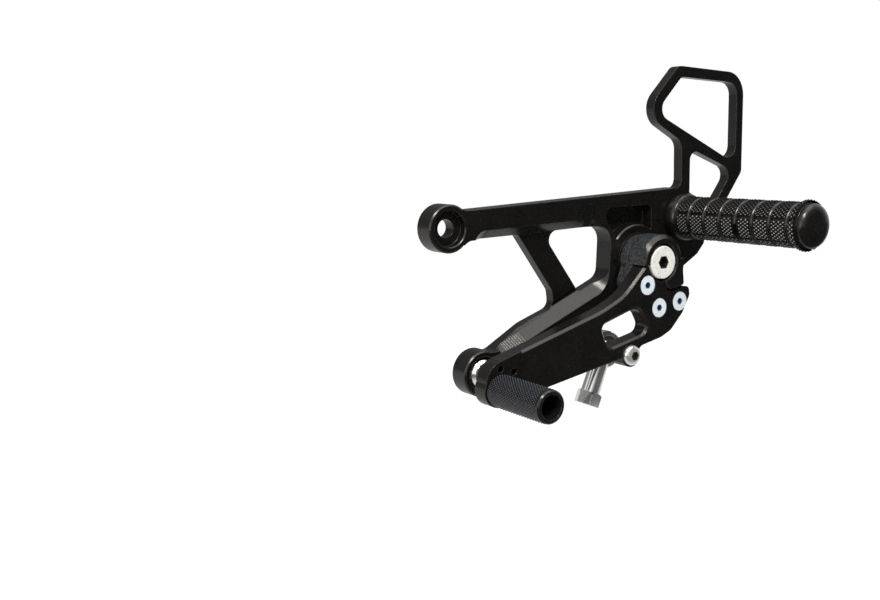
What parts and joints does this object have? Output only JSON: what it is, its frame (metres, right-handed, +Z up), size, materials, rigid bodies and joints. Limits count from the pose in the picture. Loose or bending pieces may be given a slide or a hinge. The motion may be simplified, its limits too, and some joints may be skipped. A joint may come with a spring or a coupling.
{
  "type": "rear set footrest",
  "caption": "Machined motorcycle rear set for the gear-change side: side plate with heel guard, fixed foot peg, pivoting change lever with toe peg, and a rod end for the shift rod.",
  "frame": {"origin": "axis of the upper mounting bore, on the inboard mounting face of the side plate", "axes": "+X rearward along the machine, +Y inboard towards the frame, +Z up"},
  "size_m": [0.211, 0.1062, 0.1795],
  "materials": {
    "anodised_plate": "satin black anodised",
    "anodised_lever": "satin black anodised",
    "anodised_peg": "black anodised, knurled",
    "knurled_toe": "dark knurled",
    "zinc_steel": "bright zinc plated",
    "pivot_steel": "machined stainless",
    "polished_steel": "chrome plated",
    "bearing_bronze": "sintered bronze",
    "black_steel": "black oxide"
  },
  "bodies": {
    "plate": {"side_plate": "anodised_plate", "frame_bolt": "zinc_steel", "peg_body": "anodised_peg", "peg_end_cap": "anodised_peg", "peg_bolt": "zinc_steel", "pivot_bolt": "pivot_steel", "pivot_sleeve": "polished_steel", "pivot_washer": "polished_steel"},
    "lever": {"lever_hub": "anodised_lever", "lever_arm": "anodised_lever", "arm_screw_1": "zinc_steel", "arm_screw_2": "zinc_steel", "arm_screw_3": "zinc_steel", "pivot_bush_outboard": "bearing_bronze", "pivot_bush_inboard": "bearing_bronze", "toe_peg": "knurled_toe", "toe_peg_bolt": "black_steel", "link_bolt": "polished_steel", "link_spacer": "black_steel", "link_nut": "zinc_steel"},
    "rod_ball": {"rod_end_ball": "polished_steel"},
    "rod_end": {"rod_end_body": "polished_steel", "rod_end_race": "bearing_bronze"}
  },
  "joints": [
    {"name": "lever_pivot", "type": "hinge", "parent": "plate", "child": "lever", "pos_m": [0.1194, -0.021, -0.0235], "axis": [0, 1, 0], "range_deg": [-18, 12]},
    {"name": "rod_swing", "type": "hinge", "parent": "lever", "child": "rod_ball", "pos_m": [0.0979, -0.0089, -0.07], "axis": [0, 1, 0], "range_deg": [-30, 30]},
    {"name": "rod_tilt", "type": "hinge", "parent": "rod_ball", "child": "rod_end", "pos_m": [0.0979, -0.0089, -0.07], "axis": [0.9205, 0, -0.3907], "range_deg": [-10, 10]}
  ]
}
